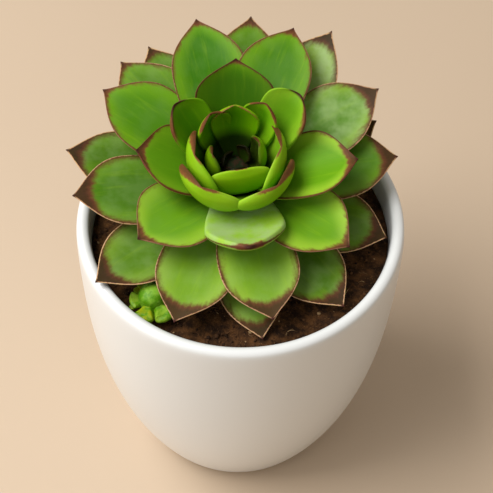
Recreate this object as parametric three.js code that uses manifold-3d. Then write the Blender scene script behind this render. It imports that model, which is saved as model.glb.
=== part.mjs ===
// A houseleek, a rosette succulent, planted in a glazed egg-shaped pot, with one small offset beside it.
// Millimetres, +Z up. The origin is the middle of the pot's flat foot, where it stands.
// Angles called azimuth are seen from above, in degrees anticlockwise from +X; -Y (270) is the front.
import * as THREE from "three";
import { mergeVertices } from "three/addons/utils/BufferGeometryUtils.js";
import Module from "manifold-3d";

const wasm = await Module();
wasm.setup();

// ---------------------------------------------------------------- driving dimensions

const GAP = 0.35; // free space between pieces that rest on each other
const SLIVER = 0.05; // detail smaller than this is dropped where pieces are cut clear

const POT = {
  rimRadius: 52, // outside, at the lip
  height: 110,
  footRadius: 33,
  footRound: 3, // radius of the edge round the foot
  wall: 4.6,
  floor: 7,
  belly: 2.85, // power of the side's curve: 1 is a cone, more is fuller at the top
  segments: 40,
};

const SOIL = {
  belowRim: 9, // where the soil meets the wall
  mound: 3, // how much higher it is at the plant
  moundRadius: 30,
  segments: 36,
};

// The plant's foot on the soil. Its axis leans by so many degrees towards the azimuth leanTo.
const PLANT = { x: -2, y: 12, lean: 12, leanTo: 270 };

const STEM = {
  radius: 7.5,
  height: 23, // above the soil
  neck: 0.55, // radius at the top, as a share
  root: 12, // length in the soil
  sides: 16,
};

// A leaf is lofted along a spine that leaves the stem and ends in the point of the tip.
const LEAF = {
  rootWidth: 0.36, // share of the full width at the stem
  widest: 0.6, // share of the length where the blade is widest
  shoulder: 2.8, // how full the blade stays past its widest place
  point: 1.4, // how drawn-out the tip is
  faceShare: 0.3, // share of the thickness above the spine
  firstRoot: 3.2, // height of the lowest leaf's root on the stem
  rootStep: 0.51, // from one leaf's root to the next one's
  rings: 8,
  sides: 10,
};

// The whorls, from the lowest, oldest leaves to the heart. cup is how far the blade's sides curl up, and
// launch is the angle at which the leaf leaves the stem, both in degrees; hold is how far it keeps to it.
const blunt = { widest: 0.74, shoulder: 2.4, point: 0.62 };
const WHORLS = {
  skirt: { width: 23, thick: 2.8, cup: 12, launch: 10, hold: 0.5 },
  lower: { width: 25, thick: 3.2, cup: 14, launch: 18, hold: 0.5 },
  middle: { width: 25, thick: 3.6, cup: 20, launch: 30, hold: 0.5 },
  upper: { width: 25, thick: 3.8, cup: 34, launch: 38, hold: 0.55 },
  collar: { width: 25, thick: 5.2, cup: 46, launch: 22, hold: 0.62, ...blunt },
  heart: { width: 14, thick: 3.4, cup: 50, launch: 34, hold: 0.6, ...blunt },
  bud: { width: 7, thick: 1.8, cup: 50, launch: 60, hold: 0.55, ...blunt, rings: 5, sides: 8 },
  lobe: { width: 6, thick: 5, cup: 34, launch: -2, hold: 1, ...blunt, rings: 6, sides: 8 },
  knob: { width: 2.4, thick: 2, cup: 20, launch: 20, hold: 0.6, ...blunt, rings: 4, sides: 6 },
};

// From the lowest leaf up: whorl, azimuth, reach and rise of the tip from the foot of the stem, measured
// square to the stem and along it, and what is special about the leaf.
const LEAVES = [
  ["skirt", 277, 53, 10.5, { width: 21, swing: 3, launch: 16 }],
  ["skirt", 341, 51, 9],
  ["skirt", 25, 49.5, 17],
  ["skirt", 122, 55.5, 17],
  ["skirt", 309, 54, 13],
  ["skirt", 171, 54.5, 16],
  ["skirt", 59, 59, 23],
  ["skirt", 222, 56, 17.5],
  ["lower", 86, 57.5, 20],
  ["lower", 9, 52, 17],
  ["lower", 134, 54.5, 20],
  ["lower", 251, 53, 18],
  ["lower", 192, 51, 22],
  ["lower", 32, 53, 25],
  ["lower", 284, 51, 20],
  ["middle", 149, 49.5, 25],
  ["middle", 322, 44.5, 25],
  ["middle", 105, 53, 27],
  ["middle", 227, 39.5, 27, { width: 26, swing: -2.5 }],
  ["middle", 70, 52, 27],
  ["upper", 350, 37, 30, { swing: 6.5 }],
  ["upper", 187, 30, 33, { swing: -3.5 }],
  ["upper", 279, 32.7, 34.5, { rootWidth: 0.62, width: 25, cup: 18, thick: 7, launch: 14, shoulder: 1.7, point: 0.95 }],
  ["upper", 41, 25.8, 39, { width: 19, cup: 48, ...blunt }],
  ["upper", 146, 22.8, 38.5, { width: 18, cup: 52, ...blunt }],
  ["upper", 91, 29.5, 38.5, { width: 27 }],
  ["collar", 236, 17.5, 37.5],
  ["collar", 313, 18.5, 37.5],
  ["collar", 355, 13.6, 38.5, { width: 24.5, thick: 4.4 }],
  ["collar", 200, 12.8, 38.5, { width: 24.5, thick: 4.4 }],
  ["heart", 130, 12, 39.5],
  ["heart", 56, 16, 39.5],
  ["heart", 281, 8.6, 37.5, { width: 19, cup: 15, thick: 4, shoulder: 4, point: 0.5 }],
  ["heart", 16, 7.3, 35, { width: 11 }],
  ["heart", 92, 12.3, 39.5, { width: 17 }],
  ["heart", 198, 7.2, 35, { width: 11 }],
  ["bud", 150, 3.5, 27],
  ["bud", 45, 4.5, 30],
  ["bud", 275, 3, 28],
];

// The offset: a closed bud with stubby leaves and knobs round it, on the soil near the wall.
const OFFSET = { x: -26.4, y: -27.6, lean: 4, leanTo: 250, firstRoot: 2, rootStep: 0.25 };
const OFFSET_BUD = { radius: 4.9, height: 6.6, neck: 0.8, root: 4, sides: 12 };
const OFFSET_LEAVES = [
  ["knob", 206, 8, 2.4, { width: 1.8 }],
  ["knob", 150, 6.8, 3],
  ["knob", 130, 7.4, 3.6],
  ["lobe", 350, 6.4, 5.4, { thick: 3.6 }],
  ["lobe", 60, 6.4, 5.8, { width: 8, thick: 3.6 }],
  ["lobe", 193, 5.4, 5, { thick: 3 }],
  ["lobe", 302, 7, 6, { width: 6.6 }],
  ["lobe", 253, 6.6, 6.2],
];

// ---------------------------------------------------------------- helpers

const rad = THREE.MathUtils.degToRad;
const mix = THREE.MathUtils.lerp;

function solidOf(geometry) {
  const bare = geometry.clone();
  bare.deleteAttribute("normal");
  bare.deleteAttribute("uv");
  const merged = mergeVertices(bare, 1e-4);
  return new wasm.Manifold(
    new wasm.Mesh({
      numProp: 3,
      vertProperties: merged.attributes.position.array,
      triVerts: new Uint32Array(merged.index.array),
    }),
  );
}

function geometryOf(solid) {
  const mesh = solid.getMesh();
  const geometry = new THREE.BufferGeometry();
  geometry.setAttribute("position", new THREE.BufferAttribute(mesh.vertProperties, mesh.numProp));
  geometry.setIndex(new THREE.BufferAttribute(mesh.triVerts, 1));
  return geometry;
}

// A profile of [radius, height] points turned round the Z axis.
function lathe(profile, segments) {
  const points = profile.map(([r, z]) => new THREE.Vector2(r, z));
  return new THREE.LatheGeometry(points, segments).rotateX(Math.PI / 2);
}

// ---------------------------------------------------------------- pot

function potOuter(z) {
  const up = THREE.MathUtils.clamp(z / POT.height, 0, 1);
  return mix(POT.footRadius, POT.rimRadius, 1 - (1 - up) ** POT.belly);
}

const lipRadius = POT.wall / 2;
const potInner = (z) => potOuter(z) - POT.wall;

function potProfile() {
  const profile = [[0, 0], [POT.footRadius - POT.footRound, 0]];
  for (let k = 1; k <= 3; k++) {
    const turn = (k / 3) * (Math.PI / 2);
    const z = POT.footRound * (1 - Math.cos(turn));
    profile.push([potOuter(z) - POT.footRound * (1 - Math.sin(turn)), z]);
  }
  const lipZ = POT.height - lipRadius;
  const sideSteps = 10;
  for (let k = 1; k <= sideSteps; k++) {
    const z = mix(POT.footRound, lipZ, k / sideSteps);
    profile.push([potOuter(z), z]);
  }
  const lipSteps = 4;
  for (let k = 1; k <= lipSteps; k++) {
    const turn = (k / lipSteps) * Math.PI;
    profile.push([potOuter(lipZ) - lipRadius * (1 - Math.cos(turn)), lipZ + lipRadius * Math.sin(turn)]);
  }
  for (let k = 1; k <= sideSteps; k++) {
    const z = mix(lipZ, POT.floor, k / sideSteps);
    profile.push([potInner(z), z]);
  }
  profile.push([0, POT.floor]);
  return profile;
}

// ---------------------------------------------------------------- soil and stems

const soilEdge = POT.height - SOIL.belowRim;

function soilTop(r) {
  const near = Math.min(1, r / SOIL.moundRadius);
  return soilEdge + SOIL.mound * (1 - near * near) ** 2;
}

function soilGeometry() {
  const profile = [[0, POT.floor + GAP]];
  const sideSteps = 6;
  for (let k = 0; k <= sideSteps; k++) {
    const z = mix(POT.floor + GAP, soilEdge, k / sideSteps);
    profile.push([potInner(z) - GAP, z]);
  }
  const rim = potInner(soilEdge) - GAP;
  const topSteps = 8;
  for (let k = 1; k <= topSteps; k++) {
    const r = rim * (1 - k / topSteps);
    profile.push([r, soilTop(r)]);
  }
  return lathe(profile, SOIL.segments);
}

// A plantlet's own frame: its foot on the soil, its Z along its leaning stem.
function frameOf(place) {
  const foot = new THREE.Vector3(place.x, place.y, soilTop(Math.hypot(place.x, place.y)));
  const hinge = new THREE.Vector3(-Math.sin(rad(place.leanTo)), Math.cos(rad(place.leanTo)), 0);
  const turn = new THREE.Quaternion().setFromAxisAngle(hinge, rad(place.lean));
  return new THREE.Matrix4().compose(foot, turn, new THREE.Vector3(1, 1, 1));
}

function stemGeometry(stem, frame, grow = 0) {
  const r = stem.radius + grow;
  const profile = [
    [0, -stem.root - grow],
    [r * 0.45, -stem.root - grow],
    [r * 0.8, -stem.root * 0.5],
    [r, 0],
    [r, stem.height * 0.4],
    [mix(r, r * stem.neck, 0.5), stem.height * 0.75],
    [r * stem.neck, stem.height],
    [r * stem.neck * 0.6, stem.height + grow + 1],
    [0, stem.height + grow + 1.4],
  ];
  return lathe(profile, stem.sides).applyMatrix4(frame);
}

// ---------------------------------------------------------------- leaves

// Share of the full width at a share s of the length.
function bladeWidth(leaf, s) {
  if (s < leaf.widest) {
    const up = Math.sin((s / leaf.widest) * (Math.PI / 2));
    return mix(leaf.rootWidth, 1, up ** 1.3);
  }
  const t = (s - leaf.widest) / (1 - leaf.widest);
  return (1 - t ** leaf.shoulder) ** leaf.point;
}

function bladeThickness(s) {
  return mix(0.85, 0.32, s * s) * Math.min(1, 0.35 + 6 * (1 - s));
}

// The leaf's geometry in its plantlet's frame. grow makes it bigger all over, to cut its neighbours clear.
function leafGeometry(leaf, grow = 0) {
  const root = new THREE.Vector2(leaf.stemRadius * 0.4, leaf.start);
  const tip = new THREE.Vector2(leaf.reach, leaf.rise);
  const launch = new THREE.Vector2(Math.cos(rad(leaf.launch)), Math.sin(rad(leaf.launch)));
  const bend = root.clone().addScaledVector(launch, root.distanceTo(tip) * leaf.hold);
  const { rings, sides } = leaf;
  const points = [];
  for (let i = 0; i <= rings; i++) {
    const s = (i / rings) ** 0.85;
    const p = root.clone().multiplyScalar((1 - s) ** 2)
      .addScaledVector(bend, 2 * s * (1 - s))
      .addScaledVector(tip, s * s);
    const d = bend.clone().sub(root).multiplyScalar(1 - s).addScaledVector(tip.clone().sub(bend), s);
    const centre = new THREE.Vector3(p.x, leaf.swing * s * s, p.y);
    const along = new THREE.Vector3(d.x, leaf.swing * s, d.y).normalize();
    centre.addScaledVector(along, grow * s);
    if (i === rings) {
      points.push(centre);
      break;
    }
    const across = new THREE.Vector3(0, 1, 0).addScaledVector(along, -along.y).normalize();
    const up = new THREE.Vector3().crossVectors(along, across);
    const half = (leaf.width / 2) * bladeWidth(leaf, s);
    const curl = half / rad(leaf.cup); // radius of the blade's section
    const thick = leaf.thick * bladeThickness(s);
    for (let k = 0; k < sides; k++) {
      const turn = (k / sides) * 2 * Math.PI;
      const u = Math.cos(turn);
      const v = Math.sin(turn);
      const off = (thick * (v > 0 ? LEAF.faceShare : 1 - LEAF.faceShare) + grow) * v;
      const swept = (u * (half + grow)) / curl;
      const out = (curl - off) * Math.sin(swept);
      const lift = curl - (curl - off) * Math.cos(swept);
      points.push(centre.clone().addScaledVector(across, out).addScaledVector(up, lift));
    }
  }
  const index = [];
  for (let i = 0; i < rings; i++) {
    for (let k = 0; k < sides; k++) {
      const a = i * sides + k;
      const b = i * sides + ((k + 1) % sides);
      if (i === rings - 1) index.push(a, b, rings * sides);
      else index.push(a, b, a + sides, b, b + sides, a + sides);
    }
  }
  for (let k = 1; k < sides - 1; k++) index.push(0, k + 1, k);
  const geometry = new THREE.BufferGeometry().setFromPoints(points).setIndex(index);
  return geometry.rotateZ(rad(leaf.azimuth)).applyMatrix4(leaf.frame);
}

function leavesOf(rows, prefix, common) {
  return rows.map(([whorl, azimuth, reach, rise, special], n) => ({
    name: `${prefix}_${String(n + 1).padStart(2, "0")}`,
    ...LEAF,
    ...WHORLS[whorl],
    swing: 0,
    azimuth,
    reach,
    rise,
    start: common.firstRoot + n * common.rootStep,
    ...common,
    ...special,
  }));
}

// ---------------------------------------------------------------- assembly

const finish = {
  glaze: { color: 0xe9e7e2, roughness: 0.35 },
  soil: { color: 0x2e1f15, roughness: 0.95 },
  stem: { color: 0x7d8a4a, roughness: 0.8 },
  leaf: { color: 0x5f9a2c, roughness: 0.5 },
  bud: { color: 0x6fae36, roughness: 0.5 },
};

const plant = new THREE.Group();

function add(name, geometry, look) {
  const mesh = new THREE.Mesh(geometry, new THREE.MeshStandardMaterial({ metalness: 0, ...look }));
  mesh.name = name;
  plant.add(mesh);
}

function biggest(solid) {
  return solid.decompose().reduce((a, b) => (b.volume() > a.volume() ? b : a));
}

function overlapping(a, b) {
  const p = a.boundingBox();
  const q = b.boundingBox();
  return [0, 1, 2].every((i) => p.min[i] < q.max[i] && q.min[i] < p.max[i]);
}

// Cuts every leaf clear of the stem and of the leaves above it, which press into it.
function addLeaves(leaves, stemCutter, look) {
  const cutters = leaves.map((leaf) => solidOf(leafGeometry(leaf, GAP)));
  leaves.forEach((leaf, n) => {
    let solid = solidOf(leafGeometry(leaf)).subtract(stemCutter);
    for (const cutter of cutters.slice(n + 1)) {
      if (overlapping(solid, cutter)) solid = solid.subtract(cutter);
    }
    add(leaf.name, geometryOf(biggest(solid.simplify(SLIVER))), look);
  });
}

add("pot", lathe(potProfile(), POT.segments), finish.glaze);

let soil = solidOf(soilGeometry());
const plantlets = [
  { place: PLANT, stem: STEM, rows: LEAVES, roots: LEAF, prefix: "leaf", stemName: "stem", look: finish.leaf },
  {
    place: OFFSET,
    stem: OFFSET_BUD,
    rows: OFFSET_LEAVES,
    roots: OFFSET,
    prefix: "offset_leaf",
    stemName: "offset_bud",
    look: finish.bud,
  },
];
for (const { place, stem, rows, roots, prefix, stemName, look } of plantlets) {
  const frame = frameOf(place);
  const stemCutter = solidOf(stemGeometry(stem, frame, GAP));
  const { firstRoot, rootStep } = roots;
  soil = soil.subtract(stemCutter);
  add(stemName, stemGeometry(stem, frame), finish.stem);
  addLeaves(leavesOf(rows, prefix, { frame, stemRadius: stem.radius, firstRoot, rootStep }), stemCutter, look);
}
add("soil", geometryOf(soil), finish.soil);

export default plant;
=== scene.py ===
# %% [markdown]
# # A potted houseleek
# A houseleek is a rosette succulent: fleshy leaves in one long spiral round a short stem, each ending in a
# hard little point. This one grows in a glazed egg-shaped pot of dark soil, with one young offset beside it.
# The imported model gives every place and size. It could be shown as it is, but its leaves are faceted, so
# each leaf is measured on its solid and made again with a fine skin, in the same place.

import math
import random

import bmesh
import bpy
from mathutils import Matrix, Vector, noise


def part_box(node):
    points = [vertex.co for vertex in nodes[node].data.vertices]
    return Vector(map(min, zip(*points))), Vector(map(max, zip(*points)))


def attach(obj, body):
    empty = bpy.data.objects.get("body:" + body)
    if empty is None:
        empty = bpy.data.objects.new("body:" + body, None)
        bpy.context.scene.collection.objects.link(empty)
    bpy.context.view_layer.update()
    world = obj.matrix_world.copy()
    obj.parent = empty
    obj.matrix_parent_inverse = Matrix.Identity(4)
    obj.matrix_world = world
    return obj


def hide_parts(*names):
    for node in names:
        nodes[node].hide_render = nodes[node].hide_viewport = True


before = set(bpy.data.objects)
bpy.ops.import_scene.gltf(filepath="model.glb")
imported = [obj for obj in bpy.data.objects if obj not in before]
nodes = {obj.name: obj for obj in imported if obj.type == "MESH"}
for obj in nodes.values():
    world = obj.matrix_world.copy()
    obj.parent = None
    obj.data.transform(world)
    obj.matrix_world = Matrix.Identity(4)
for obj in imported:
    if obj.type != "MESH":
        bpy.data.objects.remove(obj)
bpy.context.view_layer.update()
MM = 0.001  # one millimetre in the scene's metres
pot_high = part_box("pot")[1]
rim_radius = pot_high.x
pot_height = pot_high.z
soil_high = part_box("soil")[1]
print(f"{len(nodes)} nodes, pot {2 * rim_radius / MM:.0f} mm wide and {pot_height / MM:.0f} mm tall")

# %% [markdown]
# ## Camera
# The plant is looked at from above its front edge, far enough away that the pot's side tapers only gently.
# The camera could be aimed by a constraint, but a matrix made of its three directions also holds the small
# turn about the view, so the camera is built from those. Its distance, in rim radii, follows the pot.

# %% Camera
EYE_RISE = math.radians(52.3)  # of the eye, seen from the middle of the rim
EYE_AWAY = 8.464  # distance from there, in rim radii
LOOK_DOWN = math.radians(53.53)
LOOK_SIDE = math.radians(0.44)
LOOK_TURN = math.radians(1.53)
FIELD = math.radians(20)

camera = bpy.data.objects.new("camera", bpy.data.cameras.new("camera"))
bpy.context.scene.collection.objects.link(camera)
bpy.context.scene.camera = camera
camera.data.sensor_width = 36
camera.data.lens = camera.data.sensor_width / 2 / math.tan(FIELD / 2)
camera.data.clip_start = 0.01
camera.data.clip_end = 20

away = EYE_AWAY * rim_radius
eye = Vector((0, -away * math.cos(EYE_RISE), pot_height + away * math.sin(EYE_RISE)))
forward = Vector(
    (
        math.sin(LOOK_SIDE) * math.cos(LOOK_DOWN),
        math.cos(LOOK_SIDE) * math.cos(LOOK_DOWN),
        -math.sin(LOOK_DOWN),
    )
)
level_right = forward.cross(Vector((0, 0, 1))).normalized()
level_up = level_right.cross(forward)
right = level_right * math.cos(LOOK_TURN) + level_up * math.sin(LOOK_TURN)
up = level_up * math.cos(LOOK_TURN) - level_right * math.sin(LOOK_TURN)
camera.matrix_world = Matrix.Translation(eye) @ Matrix((right, up, -forward)).transposed().to_4x4()
print(f"the camera is {away:.3f} m from the rim, with a {camera.data.lens:.0f} mm lens")

# %% [markdown]
# ## Light
# Daylight through a big window lights the plant from above on its left, the wall on that side throws some of
# it back, and a pale room fills the shadows. Small lamps would be easier, but a satin glaze and waxy leaves
# show what they reflect, so window and wall are large area lights.

# %% Lights
LIT_POINT = Vector((0, 0, 0.1))  # both lights face this point, just under the lip


def add_light(name, place, size, power, colour):
    lamp = bpy.data.lights.new(name, "AREA")
    lamp.shape = "RECTANGLE"
    lamp.size, lamp.size_y = size
    lamp.energy = power
    lamp.color = colour
    light = bpy.data.objects.new(name, lamp)
    bpy.context.scene.collection.objects.link(light)
    light.rotation_mode = "QUATERNION"
    light.location = place
    light.rotation_quaternion = (LIT_POINT - Vector(place)).to_track_quat("-Z", "Y")


add_light("window", (-0.57, -0.02, 1.05), (0.8, 0.6), 13.5, (1, 1, 0.99))
add_light("bounce", (-1, -0.5, 0.4), (0.7, 0.6), 4.4, (0.92, 0.96, 1))

room = bpy.data.worlds.new("room")
room.use_nodes = True
room.node_tree.nodes["Background"].inputs["Color"].default_value = (1, 0.95, 0.87, 1)
room.node_tree.nodes["Background"].inputs["Strength"].default_value = 0.4
bpy.context.scene.world = room
bpy.context.scene.view_settings.view_transform = "Standard"
print("a window, a wall that throws its light back, and a pale room")


# %% [markdown]
# ## Finishes
# Every finish is a node material. Nodes can be wired by hand in the editor, but a script reads better with
# one short helper that makes a node, sets it and links its inputs. Colours are given as a painter reads
# them, from 0 to 255, and turned into the linear values that a shader wants.

# %% Helpers for finishes
def tint(red, green, blue):
    """A screen colour as the linear RGBA of a shader."""
    return (*(pow((c / 255 + 0.055) / 1.055, 2.4) for c in (red, green, blue)), 1)


class Finish:
    """A node material, made one node at a time."""

    def __init__(self, name, constants):
        self.material = bpy.data.materials.new(name)
        self.material.use_nodes = True
        self.tree = self.material.node_tree
        self.shader = self.tree.nodes["Principled BSDF"]
        for socket, value in constants.items():
            self.shader.inputs[socket].default_value = value

    def set(self, socket, value):
        if isinstance(value, bpy.types.NodeSocket):
            self.tree.links.new(value, socket)
        else:
            socket.default_value = value

    def node(self, kind, output=0, inputs=(), **settings):
        made = self.tree.nodes.new("ShaderNode" + kind)
        for key, value in settings.items():
            setattr(made, key, value)
        for key, value in dict(inputs).items():
            self.set(made.inputs[key], value)
        return made.outputs[output]

    def value(self, name):
        """What each vertex of the piece says under that name."""
        return self.node("Attribute", "Fac", attribute_name=name)

    def math(self, operation, a, b, clamp=False):
        return self.node("Math", inputs={0: a, 1: b}, operation=operation, use_clamp=clamp)

    def plus(self, a, b):
        return self.math("ADD", a, b)

    def minus(self, a, b):
        return self.math("SUBTRACT", a, b)

    def times(self, a, b, clamp=False):
        return self.math("MULTIPLY", a, b, clamp)

    def between(self, value, low, high):
        """0 where value is at low and 1 where it is at high, and smooth between."""
        inputs = {"Value": value, "From Min": low, "From Max": high}
        return self.node("MapRange", inputs=inputs, interpolation_type="SMOOTHSTEP")

    def mix(self, share, a, b):
        return self.node("Mix", 2, {0: share, 6: a, 7: b}, data_type="RGBA")

    def place(self, scale=(1, 1, 1)):
        coordinates = self.node("TexCoord", "Object")
        return self.node("Mapping", inputs={"Vector": coordinates, "Scale": scale})

    def noise(self, size, detail=3, where=None, rough=0.55):
        """Clouds whose lumps are about size metres across."""
        inputs = {"Vector": where or self.place(), "Scale": 1 / size, "Detail": detail, "Roughness": rough}
        return self.node("TexNoise", inputs=inputs)

    def bump(self, height, depth, under=None):
        """Relief whose lowest and highest places are depth metres apart."""
        inputs = {"Height": height, "Distance": depth}
        if under is not None:
            inputs["Normal"] = under
        return self.node("Bump", inputs=inputs)

    def done(self, colour, roughness=None, normal=None):
        self.set(self.shader.inputs["Base Color"], colour)
        if roughness is not None:
            self.set(self.shader.inputs["Roughness"], roughness)
        if normal is not None:
            self.set(self.shader.inputs["Normal"], normal)
        return self.material


# %% Helpers for pieces
SAME_POINT = 0.001 * MM  # points of a solid that are nearer than this are one
SEAM = 0.005 * MM  # and so are points of a finished piece, which closes its seams and poles


def own_copy(node):
    """A merged copy of a node's solid, to measure or to cut."""
    bm = bmesh.new()
    bm.from_mesh(nodes[node].data)
    bmesh.ops.remove_doubles(bm, verts=bm.verts, dist=SAME_POINT)
    return bm


def finish_piece(bm, name, material, replaced=(), levels=0):
    """Makes a bmesh a finished piece: closed, facing out, smooth, with its finish, in the body "root"."""
    bmesh.ops.remove_doubles(bm, verts=bm.verts, dist=SEAM)
    bmesh.ops.recalc_face_normals(bm, faces=bm.faces)
    mesh = bpy.data.meshes.new(name)
    bm.to_mesh(mesh)
    bm.free()
    mesh.polygons.foreach_set("use_smooth", [True] * len(mesh.polygons))
    mesh.materials.append(material)
    piece = bpy.data.objects.new(name, mesh)
    bpy.context.scene.collection.objects.link(piece)
    if levels:
        subdivision = piece.modifiers.new("subdivision", "SUBSURF")
        subdivision.levels = levels
        subdivision.render_levels = levels
    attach(piece, "root")
    if replaced:
        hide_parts(*replaced)
    return piece


# %% [markdown]
# ## Floor
# The pot stands on a plain pale surface. A backdrop that curves up behind would do as well, but from this
# height only the floor shows, so one flat grid is enough, far wider than the view, with a faint mottle.

# %% Floor
FLOOR_REACH = 6  # metres to each side
FLOOR_MOTTLE = 0.2  # metres across

floor_finish = Finish("floor_paint", {"Roughness": 0.6})
floor_mottle = floor_finish.noise(FLOOR_MOTTLE, 2)
floor_tone = floor_finish.mix(floor_mottle, tint(198, 175, 150), tint(205, 183, 158))
bm = bmesh.new()
bmesh.ops.create_grid(bm, x_segments=1, y_segments=1, size=FLOOR_REACH)
floor_mesh = bpy.data.meshes.new("floor")
bm.to_mesh(floor_mesh)
bm.free()
floor_mesh.materials.append(floor_finish.done(floor_tone))
floor = bpy.data.objects.new("floor", floor_mesh)
bpy.context.scene.collection.objects.link(floor)
print(f"a floor {floor.dimensions.x:.0f} m wide")


# %% [markdown]
# ## Pot
# The pot is thrown or cast, so it is a body of revolution: one outline turned once round. Its outline could
# be drawn again, but the solid already holds it. A flat cut through a copy of the solid leaves exactly that
# outline as a line of edges, half of it is spun round the middle, and a subdivision surface rounds the lip.

# %% Pot and soil outlines
def half_outline(node):
    """The right half of a turned solid's section at Y = 0, as loose edges in a new bmesh."""
    bm = own_copy(node)
    section = {"plane_no": (0, 1, 0), "clear_inner": True, "clear_outer": True}
    right_half = {"plane_no": (1, 0, 0), "clear_inner": True}
    for cut in (section, right_half):
        everything = bm.verts[:] + bm.edges[:] + bm.faces[:]
        bmesh.ops.bisect_plane(bm, geom=everything, dist=SAME_POINT, plane_co=(0, 0, 0), **cut)
    return bm


def spin_round(bm, steps):
    outline = bm.verts[:] + bm.edges[:]
    bmesh.ops.spin(
        bm, geom=outline, cent=(0, 0, 0), axis=(0, 0, 1), angle=2 * math.pi, steps=steps, use_merge=True
    )


# %% [markdown]
# ## Glaze
# The glaze is off-white and even, between satin and gloss. The foot that stood on the kiln shelf has none,
# and shows pale clay. A plain white shader would look like plastic, so a clear coat over the satin gives the
# soft highlight on the lip, and noise makes the line between glaze and clay wander, as on a wiped foot.

# %% Glaze
FOOT_BARE = 1.2 * MM  # height of the unglazed band round the foot
FOOT_SMEAR = 0.7  # share of that height below which it's all clay
FOOT_WANDER = 0.8 * MM  # how far the edge of the glaze wanders up and down
CLAY_GRAIN = 1.2 * MM
GLAZE_ROUGHNESS = 0.3
CLAY_ROUGHER = 0.45

glaze = Finish("glaze", {"Coat Weight": 0.3, "Coat Roughness": 0.2})
height_up = glaze.node("SeparateXYZ", "Z", {0: glaze.place()})
glaze_white = tint(226, 227, 226)
clay = glaze.mix(glaze.noise(CLAY_GRAIN, 5), tint(196, 184, 164), tint(222, 212, 194))
wander = glaze.times(glaze.noise(6 * MM, 2), FOOT_WANDER)
bare = glaze.between(glaze.minus(height_up, wander), FOOT_BARE, FOOT_BARE * FOOT_SMEAR)
pot_roughness = glaze.plus(glaze.times(bare, CLAY_ROUGHER), GLAZE_ROUGHNESS)
glaze.done(glaze.mix(bare, glaze_white, clay), pot_roughness)
print(f"glaze: {len(glaze.tree.nodes)} nodes")

# %% Pot
POT_STEPS = 96  # faces round the pot, before subdivision

bm = half_outline("pot")
spin_round(bm, POT_STEPS)
pot = finish_piece(bm, "glazed_pot", glaze.material, ["pot"], levels=2)
print(f"pot: {len(pot.data.polygons)} faces before subdivision")

# %% [markdown]
# ## Soil
# The compost is peat: a dark crumbly ground with loose crumbs, short pale fibres and a few gritty specks.
# A bump map alone would look like painted cardboard from the side. So the ground is the solid's own outline
# spun round and lifted by layered noise, and the crumbs and fibres on it are small real shapes.

# %% Soil finish
peat = Finish("peat", {"Roughness": 0.95, "Specular IOR Level": 0.2})
coarse = peat.noise(3.5 * MM, 5, rough=0.65)  # damp and dry places
fine = peat.noise(0.7 * MM, 4, rough=0.7)  # single grains
ground_tone = peat.mix(peat.between(coarse, 0.35, 0.7), tint(40, 24, 13), tint(98, 64, 34))
ground_tone = peat.mix(peat.between(fine, 0.58, 0.76), ground_tone, tint(140, 100, 60))
peat.done(ground_tone, normal=peat.bump(fine, 0.5 * MM))

crumb = Finish("crumb", {"Roughness": 0.95, "Specular IOR Level": 0.2})
crumb_tone = crumb.mix(crumb.value("tone"), tint(30, 18, 11), tint(104, 70, 42))
crumb_tone = crumb.mix(crumb.between(crumb.value("tone"), 0.9, 0.96), crumb_tone, tint(170, 138, 98))
crumb.done(crumb_tone, normal=crumb.bump(crumb.noise(0.4 * MM, 4), 0.25 * MM))
print("peat and crumbs are mixed")

# %% Soil ground
GROUND_LUMP = 1.1 * MM  # how far the ground rises and falls
LUMP_SIZE = 5 * MM
GRAIN_SIZE = 1.3 * MM
SOIL_STEPS = 120  # faces round the soil
TOP_DEPTH = 8 * MM  # the top is finely divided down to here
LIFT_DEPTH = 6 * MM  # and lifted down to here
WALL_STILL = 0.5 * MM  # nearer the wall than this the ground stays level, so that it keeps clear
WALL_FADE = 2 * MM  # further off than this it's fully lumpy

soil_edge_radius = max(v.co.x for v in nodes["soil"].data.vertices)
bm = half_outline("soil")
spin_round(bm, SOIL_STEPS)
lying = [face for face in bm.faces if face.normal.z > 0.7]
top = [face for face in lying if face.calc_center_median().z > soil_high.z - TOP_DEPTH]
top_edges = {edge for face in top for edge in face.edges}
bmesh.ops.subdivide_edges(bm, edges=list(top_edges), cuts=4, use_grid_fill=True)


def ground_lift(x, y):
    """How far layered noise lifts the ground at a place."""
    at = Vector((x, y, 0))
    lumps = noise.fractal(at / LUMP_SIZE, 0.9, 2.1, 5)
    grains = noise.noise(at / GRAIN_SIZE)
    return (0.8 * lumps + 0.35 * grains) * GROUND_LUMP


for vert in bm.verts:
    from_wall = soil_edge_radius - vert.co.xy.length
    if vert.co.z > soil_high.z - LIFT_DEPTH and from_wall > WALL_STILL:
        vert.co.z += ground_lift(vert.co.x, vert.co.y) * min(1, from_wall / WALL_FADE)
soil = finish_piece(bm, "soil_ground", peat.material, ["soil"])
print(f"soil: {len(soil.data.polygons)} faces")

# %% [markdown]
# ## How a leaf is made
# A houseleek leaf is a thick blade: narrow where it leaves the stem, widest past the middle, drawn out into
# a point, with its sides cupped upwards and its edge rounded. It could be sculpted, or be a flat grid
# with thickness added, but that gives every edge the same square rim. Here a grid is rolled into a flat tube
# whose ends are pinched shut: one way along the grid runs along the leaf, and the other runs round its
# section. The spine starts on the stem and ends in the tip that is measured on the leaf's own solid.

# %% A plantlet's own frame
STEM_ROOT = 12 * MM  # length of the plant's stem in the soil
OFFSET_ROOT = 4 * MM


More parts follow.
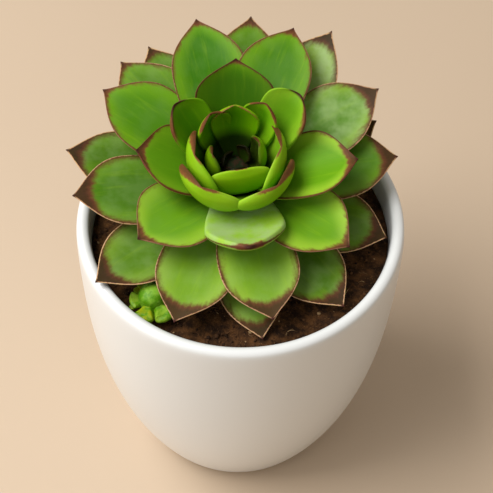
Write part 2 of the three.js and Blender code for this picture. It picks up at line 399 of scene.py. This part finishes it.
def stem_frame(node, root):
    """The frame of a plantlet: its foot on the soil, with Z along its leaning stem.
    A stem is a turned solid, so its two ends are the vertices where the most edges meet."""
    bm = own_copy(node)
    ends = sorted(bm.verts, key=lambda vert: len(vert.link_edges))[-2:]
    bottom, top = (vert.co.copy() for vert in sorted(ends, key=lambda vert: vert.co.z))
    bm.free()
    axis = (top - bottom).normalized()
    turn = Vector((0, 0, 1)).rotation_difference(axis)
    return Matrix.Translation(bottom + axis * root) @ turn.to_matrix().to_4x4()


plant_frame = stem_frame("stem", STEM_ROOT)
offset_frame = stem_frame("offset_bud", OFFSET_ROOT)
print("the plant leans", round(math.degrees(plant_frame.to_quaternion().angle), 1), "degrees")

# %% How each whorl grows
# widest: where along it a leaf is widest; shoulder and point: how it rounds off from there and how sharply
# it ends; full: roundness of the edge (1 is a thin edge, less is a thicker one); thick: thickness in
# millimetres; cup: how far the sides curl up; launch: the angle at which the leaf leaves the stem (both in
# degrees); hold: how long it keeps to that, as a share of its length; age: 0 in the heart, 1 at the skirt;
# blush: length of each leaf's brown tip, in millimetres, in turn.
pointed = {"widest": 0.6, "shoulder": 2.8, "point": 1.4, "full": 0.9, "hold": 0.5}
steeper = {**pointed, "hold": 0.55}
blunt = {"widest": 0.74, "shoulder": 2.4, "point": 0.62, "full": 0.5}
WHORLS = [
    {**pointed, "thick": 2.8, "cup": 12, "launch": 10, "age": 1, "blush": (8, 8, 6, 5, 8, 8, 7, 9)},
    {**pointed, "thick": 3.2, "cup": 14, "launch": 18, "age": 0.8, "blush": (5, 8, 4, 9, 9, 8, 9)},
    {**pointed, "thick": 3.6, "cup": 20, "launch": 30, "age": 0.5, "blush": (4, 5, 4, 5, 4)},
    {**steeper, "thick": 3.8, "cup": 34, "launch": 38, "age": 0.3, "blush": (6, 6, 5, 3, 4, 3)},
    {**blunt, "thick": 5.2, "cup": 46, "launch": 22, "hold": 0.62, "age": 0.1, "blush": (1, 1, 1, 1)},
    {**blunt, "thick": 3.4, "cup": 50, "launch": 34, "hold": 0.6, "age": 0, "blush": (1, 1, 1, 1, 1, 1)},
    {**blunt, "thick": 1.8, "cup": 50, "launch": 60, "hold": 0.55, "age": 0, "blush": (4, 4, 4)},
]

# %% What is odd about single leaves
# swing: how far the tip bends sideways, in millimetres; sun: how much painted sunlight the leaf gets, from 0
# to 1; bloom and sheen: how frosted it is, from 0 to 1, where the high values on leaves 7, 14 and 23 are
# painted sheen; tone: how deep its green gets, where the low values on 7 and 23 paint them lighter; line:
# how dark the line round its edge is; crowd: how much painted shade the leaves above cast on it, within
# crowd reach of the stem, in millimetres. streak is for leaves whose brown is a patch on the edge: its
# middle along the edge from the tip, half its length, and its width, again in millimetres.
ODD_LEAVES = {
    1: {"launch": 16, "swing": 3},
    2: {"sun": 0.1},
    5: {"sun": 0.2},
    7: {"bloom_and_sheen": 1, "sun": 1, "tone": 0.2},
    10: {"sun": 0.15, "bloom_and_sheen": 0.1},
    14: {"bloom_and_sheen": 0.6},
    19: {"swing": -2.5, "sun": 1},
    21: {"swing": 6.5},
    22: {"swing": -3.5, "crowd": 0, "sun": 0.35},
    23: {
        "root width": 0.62,
        "cup": 18,
        "thick": 7,
        "launch": 14,
        "shoulder": 1.7,
        "point": 0.95,
        "full": 0.5,
        "crowd": 0,
        "bloom_and_sheen": 0.9,
        "tone": 0.25,
        "streak": (0, 9, 3),
        "line": 0.9,
    },
    24: {"cup": 48, **blunt, "crowd": 0, "streak": (-8, 12, 2.4)},
    25: {"cup": 52, **blunt, "crowd": 0, "streak": (7, 11, 2.4)},
    26: {"crowd": 0.5, "crowd reach": 33, "sun": 0},
    27: {"streak": (-8, 16, 3.6)},
    28: {"streak": (7, 16, 3.6)},
    29: {"thick": 4.4, "streak": (8, 13, 3.6)},
    30: {"thick": 4.4, "streak": (-8, 13, 3.4)},
    31: {"streak": (1, 9, 3.2)},
    32: {"streak": (-1, 10, 3)},
    33: {"cup": 15, "thick": 4, "shoulder": 4, "point": 0.5, "streak": (0, 3.5, 1.8)},
    34: {"streak": (2, 4, 1.8)},
    36: {"streak": (-2, 4.5, 1.8)},
}
ROOT_WIDTH = 0.36  # of the full width, on most leaves
FIRST_ROOT = 3.2 * MM  # height on the stem of the lowest leaf's foot
ROOT_STEP = 0.51 * MM  # and from each leaf's to the next one's
STEM_HOLD = 3 * MM  # how far from the middle of the big stem a leaf starts


def leaf_habits():
    """One set of habits for each leaf, from the lowest leaf up."""
    habits = []
    for whorl in WHORLS:
        for blush in whorl["blush"]:
            number = len(habits) + 1
            usual = {**whorl, "number": number, "swing": 0, "blush": blush}
            usual["root width"] = ROOT_WIDTH
            usual["start"] = FIRST_ROOT + (number - 1) * ROOT_STEP
            habits.append({**usual, **ODD_LEAVES.get(number, {})})
    return habits


print(len(leaf_habits()), "leaves in", len(WHORLS), "whorls")


# %% Measure a leaf on its solid
def measured(node, habit, plantlet, hold):
    """The habit with the leaf's own tip, turn and half width, taken from its solid.
    hold is how far from the middle of the stem the leaf starts."""
    to_leaf = plantlet.inverted()
    skin = [to_leaf @ vert.co for vert in nodes[node].data.vertices]
    root = Vector((hold, 0, habit["start"]))
    tip = max(skin, key=lambda co: (co - Vector((0, 0, root.z))).length)
    swing = habit["swing"] * MM
    turn = math.atan2(tip.y, tip.x) - math.atan2(swing, tip.xy.length)
    back = Matrix.Rotation(-turn, 4, "Z")
    tip = back @ tip
    sideways = max(abs((back @ co).y - swing * habit["widest"] ** 2) for co in skin)
    cup = math.radians(habit["cup"])
    half = sideways * cup / math.sin(cup)
    return {**habit, "root": root, "tip": tip, "turn": turn, "half": half, "frame": plantlet}


sample = measured("leaf_12", leaf_habits()[11], plant_frame, STEM_HOLD)
print(f"leaf 12 is {2 * sample['half'] / MM:.1f} mm wide and reaches {sample['tip'].x / MM:.1f} mm")

# %% The shape of a blade
FOOT_SWELL = 1.3  # power of the curve by which a leaf widens from its foot
FOOT_THICKNESS = 0.85  # share of the full thickness at the foot
TIP_THICKNESS = 0.32  # and near the tip
TIP_LEFT = 0.35  # share of that which is left at the very tip
TIP_TAPER = 6  # how fast the rest of it goes
TIP_WIDTH = 0.004  # share of the full width left at the very tip
ABOVE_SPINE = 0.3  # share of a leaf's thickness above its spine
LINE_HEIGHT = 0.12  # where the dark line runs round the edge: this share of the thickness above the spine
MARGIN_HEIGHT = -0.12  # and the dry tan line outside it
STREAK_HEIGHT = -0.35  # the heart's brown patches lie on the outer side of the edge


def blade_width(leaf, s):
    """Share of the full width at a share s of the length."""
    if s < leaf["widest"]:
        rising = math.sin(s / leaf["widest"] * math.pi / 2) ** FOOT_SWELL
        return leaf["root width"] + (1 - leaf["root width"]) * rising
    past = (s - leaf["widest"]) / (1 - leaf["widest"])
    return max(0, 1 - past ** leaf["shoulder"]) ** leaf["point"]


def blade_thickness(s):
    """Share of the full thickness at a share s of the length."""
    thinning = FOOT_THICKNESS + (TIP_THICKNESS - FOOT_THICKNESS) * s * s
    return thinning * min(1, TIP_LEFT + TIP_TAPER * (1 - s))


def spine_at(leaf, s):
    """The spine's point and direction: it leaves the root at the launch angle and ends in the tip."""
    root, tip = leaf["root"], leaf["tip"]
    launch = math.radians(leaf["launch"])
    flat_tip = Vector((tip.x, 0, tip.z))
    held = (flat_tip - root).length * leaf["hold"]
    bend = root + Vector((math.cos(launch), 0, math.sin(launch))) * held
    point = root * (1 - s) ** 2 + bend * 2 * s * (1 - s) + flat_tip * s * s
    direction = (bend - root) * (1 - s) + (flat_tip - bend) * s
    point.y = tip.y * s * s
    direction.y = tip.y * s
    return point, direction.normalized()


def skin_at(leaf, s, round_turn):
    """A point of the leaf's skin, and where on the leaf it lies: how far across, how far from the dark line
    and from the dry margin, and which face it's on, from -1 below to 1 above."""
    centre, along = spine_at(leaf, s)
    across = Vector((0, 1, 0))
    across = (across - along * along.y).normalized()
    upward = along.cross(across)
    u = math.cos(round_turn)
    v = math.sin(round_turn)
    half = leaf["half"] * max(blade_width(leaf, s), TIP_WIDTH)
    curl = half / math.radians(leaf["cup"])
    share = ABOVE_SPINE if v > 0 else 1 - ABOVE_SPINE
    thick = leaf["thick"] * MM * blade_thickness(s)
    off = thick * share * math.copysign(abs(v) ** leaf["full"], v)
    swept = u * half / curl
    point = centre + across * (curl - off) * math.sin(swept)
    point += upward * (curl - (curl - off) * math.cos(swept))
    from_side = half * (1 - abs(u))
    line_height = STREAK_HEIGHT if "streak" in leaf else LINE_HEIGHT
    inset = math.hypot(from_side, off - thick * line_height)
    margin = math.hypot(from_side, off - thick * MARGIN_HEIGHT)
    return point, u * half, inset, margin, v


# %% [markdown]
# ## Leaf finish
# The skin is waxy and a little translucent: bright yellow-green in the heart, greener outside, with a grey
# bloom on the oldest leaves. Sun turns the tips and edges mauve-brown, with a fine dark line round the edge.
# One texture painted by hand would do for a still, but thirty-nine leaves need one that knows each leaf. So
# every vertex carries what the finish needs to know: how far it is in from the edge, how deep in the blush,
# how old its leaf is, which face it is on, and how much painted sun and painted shade it gets. The nodes
# turn those into colour, and noise breaks them up.

# %% Leaf finish
leaf_finish = Finish(
    "leaf_skin",
    {
        "Subsurface Weight": 0.18,
        "Subsurface Radius": (0.5, 1, 0.2),
        "Subsurface Scale": 1.6 * MM,
        "Specular IOR Level": 0.08,
    },
)
age = leaf_finish.value("age")
inset = leaf_finish.value("inset")
blush = leaf_finish.value("blush")
face = leaf_finish.value("face")
sun = leaf_finish.value("sun")
leaf_tone = leaf_finish.value("tone")
bloom_and_sheen = leaf_finish.value("bloom_and_sheen")
patch = leaf_finish.noise(7 * MM, 3)
grain = leaf_finish.noise(0.9 * MM, 4)
rough_grain = leaf_finish.minus(grain, 0.5)
streak_place = leaf_finish.node(
    "CombineXYZ", inputs={0: leaf_finish.value("across"), 1: leaf_finish.value("along"), 2: leaf_tone}
)
streak_stretch = (1, 0.12, 9)  # long along the leaf, and different from leaf to leaf
streak_place = leaf_finish.node("Mapping", inputs={"Vector": streak_place, "Scale": streak_stretch})
streak = leaf_finish.noise(1.6 * MM, 3, streak_place)
print("a leaf knows its age, its sun and how far each place is from the edge")

# %% Leaf greens
LIGHT_RIM = 1.2 * MM  # the green is light this far in from the edge
DEEP_MIDDLE = 8 * MM  # and as deep as it gets from here inwards

# painted light: each green has a shaded and a sunlit copy, and the leaf's painted sun picks between them
shade_green = leaf_finish.mix(age, tint(104, 158, 0), tint(100, 140, 30))
sun_green = leaf_finish.mix(age, tint(156, 198, 44), tint(138, 170, 60))
green = leaf_finish.mix(sun, shade_green, sun_green)
# the deep greens also have a shaded and a sunlit copy, for painted light
shade_deep = leaf_finish.mix(age, tint(50, 122, 0), tint(66, 104, 20))
sun_deep = leaf_finish.mix(age, tint(104, 162, 12), tint(88, 132, 26))
deep = leaf_finish.mix(sun, shade_deep, sun_deep)
# deeper green towards the middle: partly the leaf's own colour, partly painted shade in the cupped face and
# painted light through the thin rim
deep_middle_and_shade = leaf_finish.times(leaf_finish.between(inset, LIGHT_RIM, DEEP_MIDDLE), 0.85)
deep_middle_and_shade = leaf_finish.plus(deep_middle_and_shade, leaf_finish.times(patch, 0.3))
green = leaf_finish.mix(leaf_finish.times(deep_middle_and_shade, leaf_tone, True), green, deep)
# grey bloom on the old leaves; the high bloom given to a few leaves is painted sheen
bloom_and_sheen_amount = leaf_finish.times(leaf_finish.between(patch, 0.3, 0.7), bloom_and_sheen)
green = leaf_finish.mix(bloom_and_sheen_amount, green, tint(158, 184, 118))
pale = leaf_finish.times(leaf_finish.between(streak, 0.5, 0.8), 0.16)
green = leaf_finish.mix(pale, green, tint(160, 196, 30))
# the outer face is a paler lime: partly its own colour, partly painted light shining through the leaf
lime_and_painted_glow = leaf_finish.mix(age, tint(136, 182, 12), tint(132, 156, 66))
underside = leaf_finish.times(leaf_finish.between(face, 0, -0.7), 0.8)
green = leaf_finish.mix(underside, green, lime_and_painted_glow)
print("greens are mixed")

# %% Leaf browns
RAGGED = 2 * MM  # how unevenly the brown ends
FEATHERED = 4 * MM  # how far it runs in along the streaks of an old leaf
BROWN_START = 0.5 * MM  # how far outside its own reach the brown sets in
SOFT_START = 2.2 * MM  # and how much further on an old leaf
BROWN_FULL = 1.2 * MM  # how deep in it the brown is full

ragged = leaf_finish.times(rough_grain, RAGGED)
feathering = leaf_finish.times(leaf_finish.between(age, -0.2, 0.5), FEATHERED)
feathered = leaf_finish.times(leaf_finish.minus(streak, 0.5), feathering)
depth = leaf_finish.plus(blush, leaf_finish.plus(ragged, feathered))
light_mauve = leaf_finish.mix(age, tint(128, 66, 46), tint(88, 44, 34))
dark_mauve = leaf_finish.mix(age, tint(88, 42, 30), tint(58, 30, 25))
mauve = leaf_finish.mix(leaf_finish.between(depth, 0.3 * MM, 3.4 * MM), light_mauve, dark_mauve)
sets_in = leaf_finish.minus(leaf_finish.times(age, -SOFT_START), BROWN_START)
brown_share = leaf_finish.times(leaf_finish.between(depth, sets_in, BROWN_FULL), 0.95)
skin = leaf_finish.mix(brown_share, green, mauve)
print("browns are mixed")

# %% Leaf edges, tip and shade
EDGE_RAGGED = 0.8 * MM
LINE_REACH = 0.75 * MM  # the dark line fades out this far from its middle
DRY_REACH = 0.6 * MM
LINE_CORE = 0.3 * MM  # and both lines are full this near to theirs
TIP_START = 1.6 * MM  # where the hard dark point begins, from the tip
TIP_FULL = 0.5 * MM

line_strength = leaf_finish.value("line")
edge_noise = leaf_finish.times(rough_grain, EDGE_RAGGED)
edge = leaf_finish.plus(inset, edge_noise)
line = leaf_finish.times(leaf_finish.between(edge, LINE_REACH, LINE_CORE), line_strength)
skin = leaf_finish.mix(line, skin, tint(90, 40, 28))
dry_edge = leaf_finish.plus(leaf_finish.value("margin"), edge_noise)
dry = leaf_finish.times(leaf_finish.between(dry_edge, DRY_REACH, LINE_CORE), line_strength)
dry = leaf_finish.times(dry, leaf_finish.between(age, 0.2, 1.1))
skin = leaf_finish.mix(dry, skin, tint(206, 166, 124))
tip_dark = leaf_finish.between(leaf_finish.value("tip"), TIP_START, TIP_FULL)
skin = leaf_finish.mix(tip_dark, skin, tint(64, 32, 26))
# painted shade: deep in the heart's hollow, and at the feet of leaves under others, the skin goes
# black-green
in_shade = leaf_finish.times(leaf_finish.value("shade"), 0.93)
skin = leaf_finish.mix(in_shade, skin, tint(10, 20, 2))
wax_roughness = leaf_finish.plus(leaf_finish.times(patch, 0.14), 0.34)
relief = leaf_finish.bump(leaf_finish.noise(0.35 * MM, 2), 0.02 * MM)
relief = leaf_finish.bump(streak, 0.05 * MM, relief)
leaf_finish.done(skin, wax_roughness, relief)
print(f"leaf skin: {len(leaf_finish.tree.nodes)} nodes")

# %% [markdown]
# ## Leaves
# With the shape and the finish ready, each leaf is one rolled grid. The grid operator gives the faces, the
# points are moved to the skin, and merging closes the seam and both ends. The light inside a rosette could
# be left to the lamps alone, but here light and shade are painted into the skin as well: a leaf is painted
# paler on the sunny side of the plant, and darker where others cover it and deep in the heart. So a leaf's
# side of the plant and the depth of each place in the heart are worked out and kept as well.

# %% Sun, shade and blush
BLUSH_SIDE = 1.1 * MM  # how far in the blush reaches along the sides
BLUSH_RUN = 5  # how far back along them, in lengths of the brown tip
HOLLOW_DEPTH = 41 * MM  # height on the stem below which painted shade darkens the heart's hollow
HOLLOW_FADE = 9 * MM  # how much lower than that it is quite dark
HOLLOW_RADIUS = 7 * MM  # the dark is level inside this
HOLLOW_SLOPE = 3  # and sinks this fast outside it
SUNNY = math.radians(310)  # the side of the plant that gets the most painted sunlight
CROWD_REACH = 24  # millimetres from the stem within which the younger leaves cast painted shade on an older one
CROWD_FADE = 9 * MM  # how much nearer the stem than that it's fully shaded
CROWD_SHADE = 0.35  # how dark that painted shade is on most leaves
GROWN = 0.2  # leaves of more than this age get painted shade from those above, and have a hard dark tip


def clamp(share):
    return min(1, max(0, share))


def painted_sunlight(leaf):
    """How much painted sunlight a leaf gets, by the side of the plant that it grows on."""
    return leaf.get("sun", clamp(1.2 * math.cos(leaf["turn"] - SUNNY) + 0.55))


def shade_at(leaf, point, face):
    """How much painted shade a place gets, deep in the heart's hollow or under the leaves above."""
    from_stem = point.xy.length
    hollow = HOLLOW_DEPTH - point.z - HOLLOW_SLOPE * max(0, from_stem - HOLLOW_RADIUS)
    painted_crowd_shade = 0
    if leaf["age"] > GROWN and face > 0:
        reach = leaf.get("crowd reach", CROWD_REACH) * MM
        painted_crowd_shade = leaf.get("crowd", CROWD_SHADE) * clamp((reach - from_stem) / CROWD_FADE)
    return max(clamp(hollow / HOLLOW_FADE), painted_crowd_shade)


def blush_depth(leaf, to_tip, across, inset):
    """How deep a place is in the brown, in metres, and below 0 outside it."""
    if "streak" in leaf:
        middle, reach, width = (x * MM for x in leaf["streak"])
        along_edge = math.copysign(abs(across) + to_tip, across)
        swell = 1 - ((along_edge - middle) / reach) ** 2
        return width * swell - inset
    reach = leaf["blush"] * MM
    side = BLUSH_SIDE * max(0, 1 - to_tip / (BLUSH_RUN * reach))
    return max(reach - to_tip - inset * 0.5, side - inset)


print(f"a leaf that faces the sun gets {painted_sunlight({'turn': SUNNY}):.0%} of it")

# %% Rolling a blade
LENGTH_STEPS = 8  # straight pieces that a spine is measured by
TIP_CROWDING = 1.35  # how much closer the rows of faces lie towards the tip
SWAY = 0.5 * MM  # how unevenly a blade lies
KNOWN = ("inset", "margin", "line", "shade", "across", "along", "blush")
KNOWN += ("face", "sun", "bloom_and_sheen", "age", "tone", "tip")


def leaf_length(leaf):
    stops = [spine_at(leaf, step / LENGTH_STEPS)[0] for step in range(LENGTH_STEPS + 1)]
    return sum((after - before).length for before, after in zip(stops, stops[1:]))


def rolled_blade(leaf, lengthwise, around, tone):
    """A closed leaf in a new bmesh, with what its finish needs to know at every vertex."""
    bm = bmesh.new()
    known = {name: bm.verts.layers.float.new(name) for name in KNOWN}
    bmesh.ops.create_grid(bm, x_segments=lengthwise, y_segments=around, size=1)
    length = leaf_length(leaf)
    out = leaf["frame"] @ Matrix.Rotation(leaf["turn"], 4, "Z")
    for vert in bm.verts:
        even = (vert.co.x + 1) / 2
        s = 1 - (1 - even) ** TIP_CROWDING
        point, across, inset, margin, face = skin_at(leaf, s, (vert.co.y + 1) * math.pi)
        if even < 1e-4 or even > 1 - 1e-4:
            point = spine_at(leaf, s)[0]
        to_tip = length * (1 - s)
        wave = noise.noise(Vector((leaf["number"] * 7.3, s * 2.2, 0.5 * across / leaf["half"])))
        vert.co = out @ (point + Vector((0, 0, wave * SWAY * s)))
        said = {
            "inset": inset,
            "margin": margin,
            "line": leaf.get("line", 0.1 if "streak" in leaf else min(0.9, 3 * leaf["age"])),
            "shade": shade_at(leaf, point, face),
            "across": across,
            "along": length * s,
            "blush": blush_depth(leaf, to_tip, across, inset),
            "face": face,
            "sun": painted_sunlight(leaf),
            "bloom_and_sheen": leaf.get("bloom_and_sheen", 0.35 * max(0, leaf["age"] - 0.3)),
            "age": leaf["age"],
            "tone": leaf.get("tone", tone),
            "tip": to_tip if leaf["age"] > GROWN else length,
        }
        for name, value in said.items():
            vert[known[name]] = value
    return bm


print(len(KNOWN), "things are known at every place of a leaf")

# %% Leaves
LENGTHWISE = 30  # faces along a leaf
ROUND = 30  # faces round its section

random.seed(7)
for habit in leaf_habits():
    node = f"leaf_{habit['number']:02d}"
    grown = measured(node, habit, plant_frame, STEM_HOLD)
    blade = rolled_blade(grown, LENGTHWISE, ROUND, random.uniform(0.6, 1.2))
    finish_piece(blade, f"{node}_skin", leaf_finish.material, [node], levels=1)
print("leaves rolled")

# %% [markdown]
# ## Stem
# The stem is a short green column that shows only as the floor of the heart's hollow, so its solid is
# kept. It could be left plain, but a pale stump would show between the leaves. Its finish is painted
# near-black green for the shade down there, with brown scars, as an old stem has.

# %% Stem finish
stem_finish = Finish("stem_flesh_in_painted_shade", {"Roughness": 0.8, "Specular IOR Level": 0.2})
scars = stem_finish.noise(1.4 * MM, 4)
# painted shade: the stem's green is near black, for the dark floor of the hollow; the brown scars are its
# own
stem_shade_and_scars = stem_finish.mix(stem_finish.between(scars, 0.4, 0.65), tint(26, 40, 10), tint(58, 36, 20))
stem_finish.done(stem_shade_and_scars, normal=stem_finish.bump(scars, 0.4 * MM))
nodes["stem"].material_slots[0].material = stem_finish.material
print("the stem has its finish")

# %% [markdown]
# ## Offset
# The offset is a young rosette that hasn't opened: a smooth closed bud with stubby leaves and small knobs
# pressed to it. Its leaves are rolled like the big ones, from their own solids. The bud could be a squashed
# sphere, but a merged copy of its solid under a subdivision surface keeps the true outline. The finish is
# the same waxy skin with no blush, a yellow cast on the knobs, a few brown spots, and painted shade at its
# foot where it meets the soil.

# %% Offset finish
offset_skin = Finish(
    "offset_skin",
    {
        "Subsurface Weight": 0.2,
        "Subsurface Radius": (0.5, 1, 0.2),
        "Subsurface Scale": 1.2 * MM,
        "Specular IOR Level": 0.2,
    },
)
young_patch = offset_skin.noise(2.4 * MM, 3)
young_share = offset_skin.between(young_patch, 0.35, 0.65)
young_green = offset_skin.mix(young_share, tint(84, 138, 8), tint(130, 176, 50))
yellow = offset_skin.times(offset_skin.value("yellow"), offset_skin.between(young_patch, 0.3, 0.6))
young_green = offset_skin.mix(yellow, young_green, tint(150, 160, 10))
spots = offset_skin.between(offset_skin.noise(3.1 * MM, 2, offset_skin.place((1, 1, 0.8))), 0.62, 0.7)
young_green = offset_skin.mix(offset_skin.times(spots, 0.6), young_green, tint(126, 92, 22))
# painted shade: the offset goes black-green towards its foot, where it meets the soil
young_green = offset_skin.mix(offset_skin.value("foot"), young_green, tint(24, 44, 6))
young_relief = offset_skin.bump(young_patch, 0.3 * MM)
young_relief = offset_skin.bump(offset_skin.noise(0.5 * MM, 2), 0.04 * MM, young_relief)
offset_skin.done(young_green, 0.42, young_relief)
print("offset skin is mixed")

# %% Offset leaves and bud
GREENISH = 0.25  # how yellow a stubby leaf is
YELLOW = 0.9
STUBBY = {**blunt, "thick": 5, "cup": 34, "launch": -2, "hold": 1, "age": 0, "blush": 1, "yellow": GREENISH}
KNOB = {**STUBBY, "thick": 2, "cup": 20, "launch": 20, "hold": 0.6, "yellow": YELLOW}
OFFSET_HABITS = [
    KNOB,
    KNOB,
    KNOB,
    {**STUBBY, "thick": 3.6},
    {**STUBBY, "thick": 3.6},
    {**STUBBY, "thick": 3},
    STUBBY,
    {**STUBBY, "yellow": YELLOW},
]
OFFSET_FIRST = 2 * MM  # height of the lowest leaf's foot
OFFSET_STEP = 0.25 * MM  # and from each leaf's to the next one's
OFFSET_HOLD = 1.96 * MM  # how far from the middle of the bud a leaf starts
OFFSET_FACES = 16  # along a leaf and round it
FOOT_SHADE = 3.5 * MM  # how high on the offset the painted shade from the soil reaches
# how dark that painted shade is at the very foot
FOOT_SHADE_DARKNESS = 0.8


def offset_notes(bm, yellow):
    """What the offset's finish needs to know: how yellow the piece is, and how much painted shade it gets
    near the soil.
    """
    yellow_layer = bm.verts.layers.float.new("yellow")
    foot_shade_layer = bm.verts.layers.float.new("foot")
    for vert in bm.verts:
        up_from_soil = (offset_frame.inverted() @ vert.co).z
        vert[yellow_layer] = yellow
        vert[foot_shade_layer] = FOOT_SHADE_DARKNESS * clamp(1 - up_from_soil / FOOT_SHADE)


for index, habit in enumerate(OFFSET_HABITS):
    node = f"offset_leaf_{index + 1:02d}"
    start = OFFSET_FIRST + index * OFFSET_STEP
    usual = {"number": index, "swing": 0, "start": start, "root width": ROOT_WIDTH}
    young_leaf = measured(node, {**usual, **habit}, offset_frame, OFFSET_HOLD)
    blade = rolled_blade(young_leaf, OFFSET_FACES, OFFSET_FACES, 1)
    offset_notes(blade, habit["yellow"])
    finish_piece(blade, f"{node}_skin", offset_skin.material, [node], levels=1)

bm = own_copy("offset_bud")
offset_notes(bm, 0)
finish_piece(bm, "offset_bud_skin", offset_skin.material, ["offset_bud"], levels=3)
print(len(OFFSET_HABITS), "offset leaves round their bud")

# %% [markdown]
# ## Crumbs and fibres
# Loose crumbs lie on the ground between the leaves and the wall, with short pale root fibres and a few
# grits. They could be scattered by geometry nodes, but a seeded loop is easier to read. Each crumb is a
# small icosphere whose points are pushed about, and each fibre is a thin grid rolled round a curved line.

# %% Where the ground is
MOUND_RADIUS = 30 * MM
MIDDLE_COVERED = 0.12  # share of the ground that the stem and the oldest leaves cover
OFFSET_CLEAR = 7 * MM  # nothing lies nearer the offset than this

rim_of_soil = [v.co for v in nodes["soil"].data.vertices if v.co.xy.length > soil_edge_radius - MM]
soil_edge_height = max(co.z for co in rim_of_soil)
mound = soil_high.z - soil_edge_height


def ground_height(x, y):
    """The ground is low at the wall and mounded at the middle, as the solid under it is."""
    near = min(1, math.hypot(x, y) / MOUND_RADIUS)
    return soil_edge_height + mound * (1 - near * near) ** 2 + ground_lift(x, y)


def on_the_ground(clear):
    """A random place on the open ground, off the wall and the offset."""
    while True:
        turn = random.uniform(0, 2 * math.pi)
        reach = (soil_edge_radius - clear) * math.sqrt(random.uniform(MIDDLE_COVERED, 1))
        x, y = reach * math.cos(turn), reach * math.sin(turn)
        if math.hypot(x - offset_frame.translation.x, y - offset_frame.translation.y) > OFFSET_CLEAR:
            return x, y


print(f"the soil is mounded by {mound / MM:.1f} mm")

# %% Crumbs
CRUMBS = 1500
CRUMB_RADII = (0.25, 0.3, 0.4, 0.5, 0.7)  # millimetres
CRUMB_CLEAR = 0.9 * MM  # off the wall
CRUMB_ROUGH = 0.35  # how far its points are pushed about, as a share of its radius

bm = bmesh.new()
tone_layer = bm.verts.layers.float.new("tone")
for _ in range(CRUMBS):
    radius = random.choice(CRUMB_RADII) * random.uniform(0.8, 1.3) * MM
    x, y = on_the_ground(CRUMB_CLEAR)
    tone = random.random()
    squash = Matrix.Diagonal((1, random.uniform(0.6, 1), random.uniform(0.5, 0.8), 1))
    turned = Matrix.Rotation(random.uniform(0, math.pi), 4, "Z")
    place = Matrix.Translation((x, y, ground_height(x, y))) @ turned @ squash
    made = bmesh.ops.create_icosphere(bm, subdivisions=1, radius=radius, matrix=place)
    for vert in made["verts"]:
        vert.co += noise.noise_vector(vert.co / radius * 1.7) * radius * CRUMB_ROUGH
        vert[tone_layer] = tone
crumbs = finish_piece(bm, "soil_crumbs", crumb.material)
print(f"{CRUMBS} crumbs, {len(crumbs.data.polygons)} faces")

# %% Fibres
FIBRES = 90
FIBRE_LENGTHS = (1.8, 5)  # millimetres
FIBRE_THICKNESSES = (0.08, 0.16)
FIBRE_CLEAR = 2.5 * MM  # off the wall


def add_fibre(bm, tone_layer):
    """One short root fibre that lies on the ground, bent and tapered."""
    x, y = on_the_ground(FIBRE_CLEAR)
    heading = random.uniform(0, 2 * math.pi)
    bend = random.uniform(-1.2, 1.2)
    length = random.uniform(*FIBRE_LENGTHS) * MM
    thick = random.uniform(*FIBRE_THICKNESSES) * MM
    tone = random.uniform(0.86, 1)
    made = bmesh.ops.create_grid(bm, x_segments=7, y_segments=5, size=1)
    for vert in made["verts"]:
        s = vert.co.x
        around = vert.co.y * math.pi
        turn = heading + bend * s
        fx = x + math.cos(turn) * s * length / 2
        fy = y + math.sin(turn) * s * length / 2
        radius = thick * math.sqrt(max(0, 1 - s * s))
        side = Vector((-math.sin(turn), math.cos(turn), 0)) * math.cos(around) * radius
        lift = ground_height(fx, fy) + (0.25 + 0.2 * s * bend) * MM + math.sin(around) * radius
        vert.co = Vector((fx, fy, lift)) + side
        vert[tone_layer] = tone


bm = bmesh.new()
tone_layer = bm.verts.layers.float.new("tone")
for _ in range(FIBRES):
    add_fibre(bm, tone_layer)
fibres = finish_piece(bm, "soil_fibres", crumb.material)
print(f"{FIBRES} fibres, {len(fibres.data.polygons)} faces")
